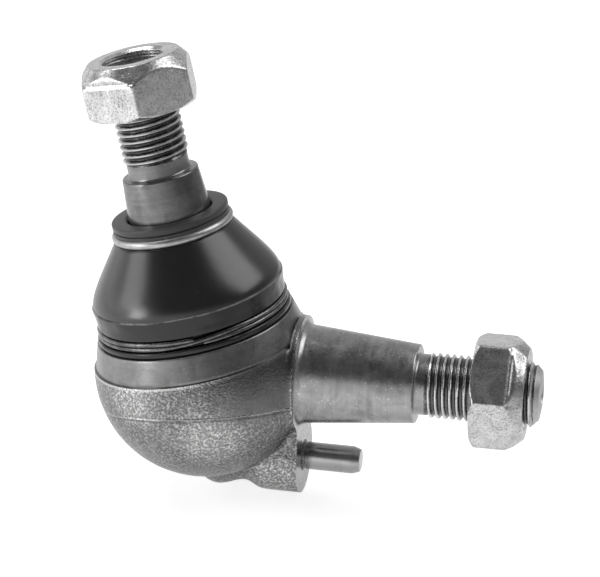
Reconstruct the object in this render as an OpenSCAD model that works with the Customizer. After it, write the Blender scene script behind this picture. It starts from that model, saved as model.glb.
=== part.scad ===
// Lower ball joint with a taper shank: forged housing, ball stud, dust boot and two lock nuts.
// The origin is where the shank axis meets the machined flange face.
// +X runs out along the shank, +Z is the side of the ball stud, all lengths are in millimetres.

/* [Ball and socket] */
// Diameter of the ball
ball_d = 29; // [27:0.5:30.5]
// Diameter of the stud's neck, just above the ball
neck_d = 14; // [12:0.5:15]
// Wall of the plastic bearing seat round the ball
seat_wall = 2.6; // [2:0.1:3.2]
// Height of the seat's mouth above the ball's centre
seat_mouth_z = 8.7; // [8:0.1:8.9]
// Depth of the socket's floor below the ball's centre
floor_depth = 17.1; // [16.5:0.1:18]
// Radius of the socket's flat floor
floor_r = 7; // [5:0.5:9]
// Number of slots that let the seat open for the ball
seat_slots = 6; // [4:1:8]
// Width of one seat slot
slot_w = 1.2; // [0.8:0.1:2]
// Thickness of the steel closing ring above the seat
closing_t = 2.2; // [1.6:0.1:2.4]
// Width of the closing ring that stands in past the rolled lip, at its lower edge
closing_w = 1.5; // [1:0.1:1.7]

/* [Housing] */
// Lean of the socket axis away from the shank, past square
lean = 12; // [6:1:16]
// Forged wall between the socket's bore and the outside of the bowl
bowl_wall = 6.9; // [6.2:0.1:8]
// Height of the bowl sphere's centre below the ball's centre
bowl_drop = 0.35; // [0:0.05:1]
// Height of the turned land's lower edge above the ball's centre
land_z = 4.7; // [3.5:0.1:5.5]
// Height of the turned land
land_h = 5.5; // [5:0.1:6]
// Depth of the turned land under the forged skin
land_cut = 0.45; // [0.2:0.05:0.8]
// Half angle of the turned land's cone
land_angle = 16.5; // [12:0.5:18]
// Wall of the thin neck that is rolled over the closing ring
roll_wall = 1.65; // [1.4:0.05:1.9]
// Height of the rolled neck above the land
roll_h = 5.4; // [5:0.1:6]
// Thickness of the rolled-in lip
lip_t = 2.1; // [1.6:0.1:2.4]
// How far the rolled lip reaches in over the closing ring
lip_w = 1.75; // [1.2:0.05:2.1]
// How far the roll draws the neck's outer edge inwards
roll_draw = 1.8; // [1.2:0.1:2.4]

/* [Flange and shank] */
// How deep the machined flange face cuts into the bowl
face_cut = 2.25; // [1.8:0.05:2.8]
// Diameter of the round pad at the foot of the shank
pad_d = 26.4; // [25.6:0.2:28]
// Thickness of that pad
pad_t = 2.5; // [2:0.1:3]
// Diameter of the shank's taper at the flange face
shank_root_d = 21.4; // [20:0.2:21.6]
// Diameter of the shank's taper at its small end
shank_end_d = 16.8; // [16:0.2:18]
// Length of the shank's taper from the flange face
shank_taper_l = 24.7; // [22:0.1:27]
// Radius of the fillet between face and shank
root_fillet = 2.2; // [1.6:0.1:2.3]
// Length of the shank beyond its taper
shank_tail_l = 26.3; // [25:0.1:30]
// Length of the relief between taper and thread
shank_relief_l = 3.3; // [2:0.1:4]

/* [Thread ends] */
// Nominal diameter of both threads
thread_d = 14; // [13.5:0.1:14.5]
// Diameter of the relief behind each thread
relief_d = 13; // [12.2:0.1:13.2]
// Length of the chamfer at a thread's end
tip_chamfer_l = 1.7; // [1:0.1:2]
// Diameter of the end face inside the chamfer
tip_d = 10.6; // [9.6:0.2:12]
// Diameter of the centre hole in the end face
centre_hole_d = 4; // [3:0.1:5]
// Depth of the centre hole
centre_hole_l = 3; // [2:0.5:4]
// Height of the slight dome on the end face
tip_dome_h = 0.4; // [0.2:0.1:0.6]

/* [Locating lug] */
// Diameter of the dowel pin
dowel_d = 6; // [5:0.5:7]
// Distance of the dowel's axis below the shank's axis
dowel_drop = 19.5; // [19:0.1:20.5]
// How far the dowel stands out of the flange face
dowel_reach = 12.6; // [11:0.1:15]
// How deep the dowel sits in the lug
dowel_depth = 8.3; // [7:0.1:9]
// Length of the dowel's lead-in chamfer
dowel_lead = 1.7; // [1:0.1:2.5]
// Chamfer at the dowel's end inside the lug
dowel_chamfer = 0.5; // [0.3:0.1:0.8]
// Length of the relief groove where the dowel leaves the face
dowel_groove = 1.4; // [1:0.1:2]
// Depth of that groove
dowel_groove_depth = 0.35; // [0.2:0.05:0.6]
// Wall of the lug round the dowel
lug_wall = 5.3; // [4.8:0.1:6]
// Length of the lug's round stretch behind the face
lug_l = 8.2; // [7:0.1:9]
// Width of the web between lug and pad
web_w = 14.4; // [13:0.2:15]
// Radius of the rib at its waist behind the lug
waist_r = 6.7; // [6.4:0.1:7.4]
// Distance of the waist behind the face
waist_x = 12.4; // [12:0.1:13]
// Radius of the rib at its heel under the bowl
heel_r = 8.1; // [7.6:0.1:8.6]
// Distance of the heel behind the face
heel_x = 18.4; // [17.5:0.1:19.5]
// Length of the heel's rounded end
heel_end_l = 6.2; // [5:0.1:7.5]

/* [Ball stud] */
// Height of the flat under the ball, below its centre
ball_flat_z = 13.4; // [12.8:0.1:13.8]
// Height where the neck starts to widen
flare_z = 19; // [17.5:0.5:20]
// Diameter of the collar that carries the boot
collar_d = 18; // [17:0.2:18.6]
// Height where the neck has reached the collar
collar_z = 27; // [24.5:0.5:28.5]
// Height where the collar turns into the stud's taper
stud_taper_z = 33; // [31:0.5:34]
// Length of the stud's taper
stud_taper_l = 11; // [9.5:0.1:12]
// Length of taper for one millimetre less diameter
taper_ratio = 6; // [5:0.5:10]
// Length of the relief between taper and thread
stud_relief_l = 3; // [2:0.1:4]
// Length of the stud's thread
stud_thread_l = 16; // [14:0.5:18]

/* [Dust boot] */
// Rubber wall of the boot's bell
boot_wall = 1.5; // [1.2:0.1:2]
// Rubber wall at the floor of the lower ring's groove
groove_wall = 0.8; // [0.6:0.05:1]
// Outer radius of the bottom bead
bead_r = 21.1; // [20.9:0.1:21.2]
// Height of the bottom bead
bead_h = 1.25; // [1:0.05:1.5]
// How far the band above the groove stands out past the middle of the lower ring's wire
band_out = 0.1; // [0:0.05:0.2]
// How far the boot's ridge, its widest line, stands out past that band
ridge_out = 0.25; // [0.1:0.05:0.6]
// Height of the ridge above the ball's centre
ridge_z = 18.2; // [17.5:0.1:19]
// Height of the boot's top disc above the ball's centre
disc_z = 35.4; // [35:0.1:36]
// Outer radius of the top disc
disc_r = 12.5; // [12.1:0.1:12.8]
// Thickness of the top disc
disc_t = 2.3; // [2:0.1:2.6]
// Outer radius of the bell just under the upper ring
shoulder_r = 12.7; // [12.5:0.1:13]
// Height over which the bell rises steeply from the ridge
bell_rise = 2.6; // [1.5:0.1:3.5]
// How far the bell spreads on its straight run below the upper ring
bell_spread = 4.4; // [3.5:0.1:5.5]
// Height of that straight run
bell_run = 6.6; // [5.5:0.1:7.5]

/* [Boot rings] */
// Wire diameter of the upper ring
upper_wire_d = 1.96; // [1.6:0.05:2.2]
// Outer radius of the upper ring
upper_ring_r = 13.05; // [12.9:0.05:13.3]
// Wire diameter of the two-turn lower ring
lower_wire_d = 1.1; // [1:0.05:1.2]
// Depth of the two wires' shared flat
wire_overlap = 0.06; // [0.04:0.01:0.1]

/* [Lock nuts] */
// Width of the nuts across flats
nut_af = 22; // [21:0.5:24]
// Height of the nuts
nut_h = 11; // [10:0.5:12]
// Height of the hexagon's upright corner edges above the seat
nut_corner_h = 7.4; // [6.8:0.1:8]
// Diameter of the flat on top of the nut
nut_top_d = 19.2; // [18:0.2:20]
// Height of the chamfer on the seat side
nut_seat_chamfer = 1.1; // [0.6:0.1:1.4]
// Chamfer at the mouths of the thread
nut_mouth = 0.5; // [0.3:0.1:0.8]
// Length of the stud's thread that is inside its nut
stud_nut_grip = 4.8; // [3:0.1:9]
// Distance of the shank nut's seat from the shank's tip
shank_nut_back = 14.2; // [12:0.1:20]
// Angle at which the stud nut stands on its thread, in degrees
stud_nut_angle = 43; // [0:1:60]
// Angle at which the shank nut stands on its thread, in degrees
shank_nut_angle = 19; // [0:1:60]

/* [Clearances] */
// Radial running clearance of ball, seat and threads
run_gap = 0.05; // [0.03:0.01:0.08]
// Clearance of the dowel in its hole
press_gap = 0.01; // [0.01:0.01:0.02]

/* [Hidden] */
$fn = 96;
far = 60;

// Socket: everything here turns about the socket axis, with the ball's centre at height 0
ball_r = ball_d / 2;
seat_r = ball_r + seat_wall;
bore_r = seat_r + run_gap;
bowl_r = bore_r + bowl_wall;
land_r = sqrt(bowl_r * bowl_r - (land_z + bowl_drop) * (land_z + bowl_drop)) - land_cut;
land_top_z = land_z + land_h;
land_top_r = land_r - land_h * tan(land_angle);
roll_r = bore_r + roll_wall;
socket_top_z = land_top_z + roll_h;
lip_r = bore_r - lip_w;
closing_z = socket_top_z - lip_t - run_gap - closing_t;
seat_top_z = closing_z - run_gap;
cone_top_z = -floor_depth + (bore_r - floor_r);

// Housing outside the socket
ball_to_face = bowl_r - face_cut;
pad_r = pad_d / 2;
shank_slope = (shank_root_d - shank_end_d) / 2 / shank_taper_l;
shank_l = shank_taper_l + shank_tail_l;
lug_r = dowel_d / 2 + lug_wall;
rib_steps = 8;

// Stud
stud_shoulder_z = stud_taper_z + stud_taper_l;
stud_end_r = collar_d / 2 - stud_taper_l / taper_ratio / 2;
stud_thread_z = stud_shoulder_z + stud_relief_l;
stud_top_z = stud_thread_z + stud_thread_l;

// Boot and rings: edge is the small rounding of every rubber edge
edge = 0.3;
cuff_r = roll_r + run_gap;
bead_z = land_top_z + 3 * run_gap;
wire_r = lower_wire_d / 2;
wire_pitch = lower_wire_d - wire_overlap;
groove_z = bead_z + bead_h;
groove_h = wire_pitch + lower_wire_d + 2 * run_gap;
groove_r = cuff_r + groove_wall;
wire_centre_r = groove_r + run_gap + wire_r;
band_r = wire_centre_r + band_out;
ridge_r = band_r + ridge_out;
upper_wire_r = upper_wire_d / 2;
upper_centre_r = upper_ring_r - upper_wire_r;
upper_ring_z = disc_z - disc_t - upper_wire_r;
shoulder_z = upper_ring_z - upper_wire_r;
bell_steps = 16;

// Nuts
nut_corner_r = nut_af / sqrt(3);
nut_bore_r = thread_d / 2 + run_gap;
stud_nut_z = stud_top_z - stud_nut_grip;
shank_nut_x = shank_l - shank_nut_back;

// Half-cosine step from a to b, for s from 0 to 1
function ease(a, b, s) = a + (b - a) * (1 - cos(180 * s)) / 2;

// Outer radius and height of the boot's bell, for s from 0 at the ridge to 1 under the upper ring:
// a cubic curve that rises from the ridge, rounds over and runs in straight below the ring
function bell(s, inset) =
    let (p0 = [ridge_r, ridge_z + edge], p1 = [ridge_r - edge, ridge_z + bell_rise],
         p2 = [shoulder_r + bell_spread, shoulder_z - bell_run], p3 = [shoulder_r, shoulder_z],
         u = 1 - s)
    u * u * u * p0 + 3 * u * u * s * p1 + 3 * u * s * s * p2 + s * s * s * p3 - [inset, inset * s * edge * 2];

// Radius of the rib under the bowl, against the distance behind the face
function rib_r(x) =
    x <= lug_l ? lug_r :
    x <= waist_x ? ease(lug_r, waist_r, (x - lug_l) / (waist_x - lug_l)) :
    x <= heel_x ? ease(waist_r, heel_r, (x - waist_x) / (heel_x - waist_x)) :
    heel_r * sqrt(max(0, 1 - pow((x - heel_x) / heel_end_l, 2)));

// Puts what is drawn along +Z onto the socket axis
module on_socket() {
    translate([-ball_to_face, 0, 0]) rotate([0, -lean, 0]) children();
}

// Puts what is drawn along +Z onto the shank axis
module on_shank() {
    rotate([0, 90, 0]) children();
}

// Puts what is drawn along +Z onto the dowel's axis
module on_dowel() {
    translate([0, 0, -dowel_drop]) rotate([0, 90, 0]) children();
}

// Round bar from height z0 to z1
module bar(r, z0, z1) {
    translate([0, 0, z0]) cylinder(r = r, h = z1 - z0);
}

// Cone from radius r0 at z0 to radius r1 at z1
module cone(r0, z0, r1, z1) {
    translate([0, 0, z0]) cylinder(r1 = r0, r2 = r1, h = z1 - z0);
}

// Threaded end from height z0 to z1: full diameter, chamfer, slightly domed end face and centre hole
module thread_end(z0, z1) {
    difference() {
        union() {
            bar(thread_d / 2, z0, z1 - tip_dome_h - tip_chamfer_l);
            cone(thread_d / 2, z1 - tip_dome_h - tip_chamfer_l, tip_d / 2, z1 - tip_dome_h);
            cone(tip_d / 2, z1 - tip_dome_h, centre_hole_d / 2 + tip_dome_h, z1);
        }
        bar(centre_hole_d / 2, z1 - centre_hole_l, z1 + 1);
        cone(0, z1 - centre_hole_l - centre_hole_d / 2, centre_hole_d / 2, z1 - centre_hole_l + 0.01);
    }
}

// Outside of the bowl: forged sphere, turned land and the thin neck rolled in at the top
module socket_outside() {
    intersection() {
        translate([0, 0, -bowl_drop]) sphere(r = bowl_r);
        bar(bowl_r + 1, -bowl_r - 1 - bowl_drop, land_z);
    }
    cone(land_r, land_z - 0.01, land_top_r, land_top_z);
    bar(roll_r, land_top_z - 1, socket_top_z - lip_t);
    cone(roll_r, socket_top_z - lip_t, roll_r - roll_draw / 3, socket_top_z - lip_t / 2);
    cone(roll_r - roll_draw / 3, socket_top_z - lip_t / 2, roll_r - roll_draw, socket_top_z);
}

// Room inside the socket: seat bore with a coned floor, closing ring seat and the lip's mouth
module socket_room() {
    bar(bore_r, cone_top_z, socket_top_z - lip_t);
    cone(floor_r, -floor_depth, bore_r, cone_top_z);
    bar(lip_r, socket_top_z - lip_t - 0.01, socket_top_z + 1);
}

// Pad at the shank's foot, drawn along the shank axis up to the face at height 0
module foot_pad() {
    bar(pad_r, -pad_t, 0);
}

// Tapered shank with root fillet, relief and threaded end, drawn along +Z from the face
module shank() {
    fillet_r = shank_root_d / 2 - shank_slope * root_fillet;
    cone(shank_root_d / 2 + shank_slope * pad_t, -pad_t, shank_end_d / 2, shank_taper_l);
    rotate_extrude() difference() {
        translate([fillet_r - 1, -0.01]) square([root_fillet + 1, root_fillet + 0.01]);
        translate([fillet_r + root_fillet, root_fillet]) circle(r = root_fillet);
    }
    bar(relief_d / 2, shank_taper_l - 1, shank_taper_l + shank_relief_l + 0.5);
    thread_end(shank_taper_l + shank_relief_l, shank_l);
}

// Lug round the dowel and the rib that runs on from it, drawn about the dowel's axis
module lug_and_rib() {
    ends = [lug_l, waist_x, heel_x, heel_x + heel_end_l];
    stations = concat([0], [for (k = [0:2]) for (i = [0:rib_steps - 1])
        ends[k] + (ends[k + 1] - ends[k]) * (k == 2 ? sin(90 * i / rib_steps) : i / rib_steps)]);
    rotate_extrude() polygon(concat(
        [[0, 0]], [for (x = stations) [rib_r(x), -x]], [[0, -heel_x - heel_end_l]]));
}

module housing() {
    color([0.36, 0.36, 0.37]) difference() {
        union() {
            difference() {
                union() {
                    on_socket() socket_outside();
                    on_dowel() lug_and_rib();
                    translate([-lug_l, -web_w / 2, -dowel_drop]) cube([lug_l, web_w, dowel_drop]);
                    on_shank() foot_pad();
                }
                translate([0, -far, -far]) cube(2 * far);
            }
            on_shank() shank();
        }
        on_socket() socket_room();
        on_dowel() {
            bar(dowel_d / 2 + press_gap, -dowel_depth - 0.3, 1);
            cone(dowel_d / 2, -dowel_groove / 2, dowel_d / 2 + dowel_groove / 2 + 0.01, 0.01);
        }
    }
}

// Dowel: plain pin with a lead-in chamfer and a relief groove where it leaves the face
module dowel_pin() {
    color([0.42, 0.42, 0.43]) on_dowel() difference() {
        union() {
            cone(dowel_d / 2 - dowel_chamfer, -dowel_depth, dowel_d / 2, -dowel_depth + dowel_chamfer);
            bar(dowel_d / 2, -dowel_depth + dowel_chamfer, dowel_reach - dowel_lead);
            cone(dowel_d / 2, dowel_reach - dowel_lead, dowel_d / 2 - dowel_lead / 3, dowel_reach);
        }
        difference() {
            bar(dowel_d, -dowel_groove / 2, dowel_groove / 2);
            bar(dowel_d / 2 - dowel_groove_depth, -dowel_groove, dowel_groove);
        }
    }
}

// Slotted plastic seat: grips the ball past its middle and opens through its slots
module bearing_seat() {
    mouth_r = sqrt(ball_r * ball_r - seat_mouth_z * seat_mouth_z);
    color([0.93, 0.92, 0.86]) on_socket() difference() {
        union() {
            bar(seat_r, cone_top_z, seat_top_z);
            cone(floor_r - run_gap, -floor_depth + run_gap, seat_r, cone_top_z);
        }
        sphere(r = ball_r + run_gap);
        bar(mouth_r, 0, seat_mouth_z);
        cone(mouth_r, seat_mouth_z - 0.01, mouth_r + 2, seat_top_z + 0.01);
        bar(floor_r - 2, -floor_depth - 1, 0);
        for (i = [0:seat_slots - 1])
            rotate([0, 0, i * 360 / seat_slots])
                translate([floor_r + 1, -slot_w / 2, -ball_r / 4]) cube([far, slot_w, far]);
    }
}

// Steel ring that closes the socket over the seat, with a coned mouth for the swinging neck
module closing_ring() {
    color([0.55, 0.55, 0.56]) on_socket() difference() {
        bar(bore_r - run_gap, closing_z, closing_z + closing_t);
        cone(lip_r - closing_w, closing_z - 0.01, lip_r - closing_w / 3, closing_z + closing_t + 0.01);
    }
}

module ball_stud() {
    color([0.33, 0.33, 0.34]) on_socket() {
        intersection() {
            sphere(r = ball_r);
            bar(ball_r + 1, -ball_flat_z, ball_r + 1);
        }
        bar(neck_d / 2, ball_r / 2, flare_z);
        cone(neck_d / 2, flare_z, collar_d / 2, collar_z);
        bar(collar_d / 2, collar_z, stud_taper_z);
        cone(collar_d / 2, stud_taper_z, stud_end_r, stud_shoulder_z);
        bar(relief_d / 2, stud_shoulder_z - 1, stud_thread_z + 0.5);
        thread_end(stud_thread_z, stud_top_z);
    }
}

// Dust boot: bead and groove for the lower ring, band up to the ridge, bell, and the thick top
// disc that seals on the stud's collar above the upper ring
module dust_boot() {
    hole_r = collar_d / 2 + run_gap;
    groove_top_z = groove_z + groove_h;
    cuff_top_z = socket_top_z - lip_t + edge;
    outside = concat(
        [[cuff_r, bead_z], [bead_r - edge, bead_z], [bead_r, bead_z + edge], [bead_r, groove_z - edge],
         [bead_r - edge, groove_z], [groove_r, groove_z], [groove_r, groove_top_z],
         [band_r - edge, groove_top_z], [band_r, groove_top_z + edge], [ridge_r + edge / 2, ridge_z - edge],
         [ridge_r + edge / 2, ridge_z]],
        [for (i = [0:bell_steps]) bell(i / bell_steps, 0)],
        [[disc_r, upper_ring_z], [disc_r, disc_z - edge], [disc_r - edge, disc_z],
         [hole_r + edge, disc_z], [hole_r, disc_z - edge]]);
    inside = concat(
        [[hole_r, shoulder_z - 1.2]],
        [for (i = [bell_steps - 3:-1:0]) bell(i / bell_steps, boot_wall)],
        [[cuff_r + edge / 2, cuff_top_z + 1], [cuff_r, cuff_top_z]]);
    color([0.08, 0.08, 0.08]) on_socket() difference() {
        rotate_extrude() polygon(concat(outside, inside));
        translate([0, 0, upper_ring_z]) rotate_extrude()
            translate([upper_centre_r, 0]) circle(r = upper_wire_r + run_gap, $fn = 48);
    }
}

// Round wire ring under the boot's top disc
module boot_upper_ring() {
    color([0.72, 0.72, 0.72]) on_socket() translate([0, 0, upper_ring_z])
        rotate_extrude() translate([upper_centre_r, 0]) circle(r = upper_wire_r, $fn = 48);
}

// Two-turn wire ring in the boot's lower groove
module boot_lower_ring() {
    low_z = groove_z + run_gap + wire_r;
    color([0.2, 0.2, 0.21]) on_socket() rotate_extrude()
        for (k = [0, 1]) translate([wire_centre_r, low_z + k * wire_pitch]) circle(r = wire_r, $fn = 48);
}

// All-metal lock nut, drawn from its seat at height 0: hexagon under a steep cone, chamfered seat
module lock_nut() {
    seat_face_r = nut_corner_r - nut_seat_chamfer * 1.3;
    difference() {
        intersection() {
            cylinder(r = nut_corner_r, h = nut_h, $fn = 6);
            union() {
                cone(seat_face_r, 0, nut_corner_r, nut_seat_chamfer);
                bar(nut_corner_r, nut_seat_chamfer, nut_corner_h);
                cone(nut_corner_r, nut_corner_h, nut_top_d / 2, nut_h);
            }
        }
        bar(nut_bore_r, -1, nut_h + 1);
        cone(nut_bore_r + nut_mouth + 0.01, -0.01, nut_bore_r, nut_mouth);
        cone(nut_bore_r, nut_h - nut_mouth, nut_bore_r + nut_mouth + 0.01, nut_h + 0.01);
    }
}

module stud_nut() {
    color([0.78, 0.78, 0.78]) on_socket() translate([0, 0, stud_nut_z]) rotate([0, 0, stud_nut_angle]) lock_nut();
}

module shank_nut() {
    color([0.78, 0.78, 0.78]) on_shank() translate([0, 0, shank_nut_x]) rotate([0, 0, shank_nut_angle]) lock_nut();
}

housing();
dowel_pin();
bearing_seat();
closing_ring();
ball_stud();
dust_boot();
boot_upper_ring();
boot_lower_ring();
stud_nut();
shank_nut();
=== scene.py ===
# %% [markdown]
# # A lower ball joint, dressed for the camera
# The part is a forged steel housing that holds a ball stud. A rubber boot keeps water out of the
# socket, and two lock nuts wait on the two threaded ends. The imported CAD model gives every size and
# every place. The visible surfaces are built over it here: forged skin, turned steel, cut threads,
# wire rings, rubber and zinc.

import math

import bmesh
import bpy
import numpy as np
from mathutils import Matrix, Vector


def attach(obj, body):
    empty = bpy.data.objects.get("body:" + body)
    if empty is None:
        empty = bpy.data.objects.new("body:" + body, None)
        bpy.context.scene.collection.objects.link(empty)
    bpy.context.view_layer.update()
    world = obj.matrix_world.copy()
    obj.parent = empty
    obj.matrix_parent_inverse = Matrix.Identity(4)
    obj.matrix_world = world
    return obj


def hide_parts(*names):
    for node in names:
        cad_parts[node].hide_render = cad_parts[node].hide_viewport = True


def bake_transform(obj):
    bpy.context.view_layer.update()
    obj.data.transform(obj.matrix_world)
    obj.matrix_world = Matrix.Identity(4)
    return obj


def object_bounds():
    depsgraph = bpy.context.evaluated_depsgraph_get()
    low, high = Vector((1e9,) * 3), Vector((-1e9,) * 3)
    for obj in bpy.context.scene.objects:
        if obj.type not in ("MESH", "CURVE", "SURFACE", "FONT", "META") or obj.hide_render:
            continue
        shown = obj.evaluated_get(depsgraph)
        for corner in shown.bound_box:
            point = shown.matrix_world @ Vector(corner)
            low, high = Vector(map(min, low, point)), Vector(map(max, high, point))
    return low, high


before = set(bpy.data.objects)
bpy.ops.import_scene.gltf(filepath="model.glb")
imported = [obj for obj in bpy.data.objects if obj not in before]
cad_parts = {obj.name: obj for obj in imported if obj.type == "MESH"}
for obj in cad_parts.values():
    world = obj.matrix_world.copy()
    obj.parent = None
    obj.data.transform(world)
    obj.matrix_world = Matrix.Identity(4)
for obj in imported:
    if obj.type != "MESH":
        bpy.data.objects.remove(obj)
cad_low, cad_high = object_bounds()
scene = bpy.context.scene
print("CAD nodes:", ", ".join(sorted(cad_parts)))
print("CAD box in mm:", [round(1000 * (b - a), 1) for a, b in zip(cad_low, cad_high)])

# %% [markdown]
# Three axes carry everything that is round. The socket axis runs through the ball's centre and leans
# 12 degrees away from the shank. The shank axis is +X, and the dowel lies parallel to it, lower down.
# Each piece is drawn along +Z at first and then put on its own axis, because a turned piece is easiest
# to describe by its radius and its height.

# %% Axes of the part
MM = 0.001
FULL_TURN = 2 * math.pi
LEAN = math.radians(12)
LAND_Z = 4.7
BALL_TO_FACE = 21.8 * MM
DOWEL_DROP = 19.5 * MM

on_socket = Matrix.Translation((-BALL_TO_FACE, 0, 0)) @ Matrix.Rotation(-LEAN, 4, "Y")
on_shank = Matrix.Rotation(math.radians(90), 4, "Y")
on_dowel = Matrix.Translation((0, 0, -DOWEL_DROP)) @ on_shank
socket_axis = (on_socket.to_3x3() @ Vector((0, 0, 1))).normalized()
print("socket axis:", [round(v, 4) for v in socket_axis])

# %% [markdown]
# The boolean work below needs closed meshes. A turned piece is a closed outline of radius and height
# spun round its axis. Each corner of an outline may carry a fillet, because no real edge is perfectly
# sharp, and the small rounding is what catches the light.

# %% Outlines with rounded corners
def rounded(outline, closed, steps=4):
    """Points of an outline of (radius, height) or (radius, height, fillet) in mm."""
    points = []
    for i, (r, z, *fillet) in enumerate(outline):
        here = Vector((r, z))
        is_end = not closed and i in (0, len(outline) - 1)
        if is_end or not fillet:
            points.append(here)
            continue
        before = Vector(outline[i - 1][:2]) - here
        after = Vector(outline[(i + 1) % len(outline)][:2]) - here
        half = before.angle(after) / 2
        back = min(fillet[0] / math.tan(half), 0.48 * before.length, 0.48 * after.length)
        radius = back * math.tan(half)
        middle = (before.normalized() + after.normalized()).normalized()
        centre = here + middle * radius / math.sin(half)
        start = here + before.normalized() * back - centre
        end = here + after.normalized() * back - centre
        sweep = start.angle_signed(end)
        for k in range(steps + 1):
            turn = -sweep * k / steps
            c, s = math.cos(turn), math.sin(turn)
            points.append(centre + Vector((c * start.x - s * start.y, s * start.x + c * start.y)))
    return points


def arc(radius, first, last, count, centre=(0, 0)):
    """Points of an outline on an arc, between two angles in degrees."""
    return [(centre[0] + radius * math.cos(a), centre[1] + radius * math.sin(a))
            for a in np.radians(np.linspace(first, last, count))]


# %% Turned pieces and boxes
def place(name, data, axes=None):
    """Links a mesh as a piece, with its place in the mesh, or links a lamp or a camera."""
    if axes is not None:
        data.transform(axes)
    piece = bpy.data.objects.new(name, data)
    scene.collection.objects.link(piece)
    return piece


def place_shape(name, shape, axes):
    mesh = bpy.data.meshes.new(name)
    shape.to_mesh(mesh)
    shape.free()
    return place(name, mesh, axes)


def turned(name, outline, axes, closed=False, around=144, steps=4):
    """Spins an outline round its axis. An open outline starts and ends on the axis."""
    angles = [FULL_TURN * k / around for k in range(around)]
    shape = bmesh.new()
    rings = []
    for p in rounded(outline, closed, steps):
        r, z = p.x * MM, p.y * MM
        directions = [(0, 0)] if p.x < 1e-6 else [(r * math.cos(a), r * math.sin(a)) for a in angles]
        rings.append([shape.verts.new((x, y, z)) for x, y in directions])
    pairs = list(zip(rings, rings[1:]))
    if closed:
        pairs.append((rings[-1], rings[0]))
    for low, high in pairs:
        for k in range(around):
            n = (k + 1) % around
            corners = [low[k % len(low)], low[n % len(low)], high[n % len(high)], high[k % len(high)]]
            corners = list(dict.fromkeys(corners))
            if len(corners) > 2:
                shape.faces.new(corners)
    bmesh.ops.recalc_face_normals(shape, faces=shape.faces)
    return place_shape(name, shape, axes)


def solid_box(name, low, high, axes=None):
    """Plain box between two corners in mm, only ever used as a cutting tool or a lump to blend."""
    shape = bmesh.new()
    bmesh.ops.create_cube(shape, size=1)
    for v in shape.verts:
        v.co = Vector([(a + b) / 2 + c * (b - a) for a, b, c in zip(low, high, v.co)]) * MM
    return place_shape(name, shape, axes)


# %% Baking modifiers and cutting one solid with another
def bake_modifiers(piece):
    """Turns what a piece's modifiers make into its plain mesh and removes the modifiers."""
    bpy.context.view_layer.update()
    graph = bpy.context.evaluated_depsgraph_get()
    mesh = bpy.data.meshes.new_from_object(piece.evaluated_get(graph))
    mesh.name = piece.name
    piece.modifiers.clear()
    piece.data = mesh
    return piece


def combine(piece, tool, operation):
    """Boolean of two closed solids. The tool is used up."""
    change = piece.modifiers.new("combine", "BOOLEAN")
    change.operation = operation
    change.solver = "MANIFOLD"
    change.object = tool
    bake_modifiers(piece)
    bpy.data.objects.remove(tool)


def join(piece, *lumps):
    for lump in lumps:
        combine(piece, lump, "UNION")


def cut(piece, *tools):
    for tool in tools:
        combine(piece, tool, "DIFFERENCE")


def tell(piece):
    print(piece.name, "has", len(piece.data.polygons), "faces")


def soften(piece, sharp_above=32):
    """Smooth shading, with edges kept sharp where two faces meet at a larger angle."""
    mesh = piece.data
    mesh.polygons.foreach_set("use_smooth", [True] * len(mesh.polygons))
    mesh.set_sharp_from_angle(angle=math.radians(sharp_above))


# %% [markdown]
# Shaders and Geometry Nodes are both trees of nodes. A node's output is wrapped as a Value here, and
# plain arithmetic with a Value adds the Math nodes, so that a formula reads like a formula.

# %% Values, and arithmetic with them
def sign(operation, swapped=False):
    """Method that does one sign of arithmetic with a Math node."""
    def method(self, other=None):
        return calc(operation, *((other, self) if swapped else (self, other)))
    return method


class Value:
    """One output of a node."""
    def __init__(self, socket):
        self.socket = socket
        self.tree = socket.id_data

    __add__ = __radd__ = sign("ADD")
    __mul__ = __rmul__ = sign("MULTIPLY")
    __sub__ = sign("SUBTRACT")
    __rsub__ = sign("SUBTRACT", swapped=True)
    __truediv__ = sign("DIVIDE")
    __rtruediv__ = sign("DIVIDE", swapped=True)
    __pow__ = sign("POWER")
    __abs__ = sign("ABSOLUTE")


def feed(socket, value):
    """Links a node's output into a socket, or writes a plain value there."""
    if isinstance(value, Value):
        socket.id_data.links.new(value.socket, socket)
    elif value is not None:
        socket.default_value = value


def feed_all(sockets, values):
    for label, value in values.items():
        feed(sockets[label], value)


def add(tree, kind, feeds=None, **settings):
    """New node with its settings, and with its inputs fed by name or number."""
    made = tree.nodes.new(kind)
    for name, value in settings.items():
        setattr(made, name, value)
    feed_all(made.inputs, feeds or {})
    return made


def take(tree, kind, feeds=None, output=0, **settings):
    """New node, of which one output is used."""
    return Value(add(tree, kind, feeds, **settings).outputs[output])


def calc(operation, *values, **settings):
    tree = next(value.tree for value in values if isinstance(value, Value))
    return take(tree, "ShaderNodeMath", dict(enumerate(values)), operation=operation, **settings)


def largest(first, *others):
    for other in others:
        first = calc("MAXIMUM", first, other)
    return first


def ease(value, low, high, to_low=0.0, to_high=1.0):
    """Smooth step of a value, from to_low at low to to_high at high."""
    feeds = {"Value": value, "From Min": low, "From Max": high, "To Min": to_low, "To Max": to_high}
    return take(value.tree, "ShaderNodeMapRange", feeds, interpolation_type="SMOOTHSTEP")


def parts(value):
    """The X, Y and Z of a vector."""
    return [Value(output) for output in add(value.tree, "ShaderNodeSeparateXYZ", {0: value}).outputs]


# %% Node groups, and Geometry Nodes on a piece
FLOAT, GEOMETRY = "NodeSocketFloat", "NodeSocketGeometry"
NUMBER_SOCKETS = {float: FLOAT, int: "NodeSocketInt"}


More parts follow.
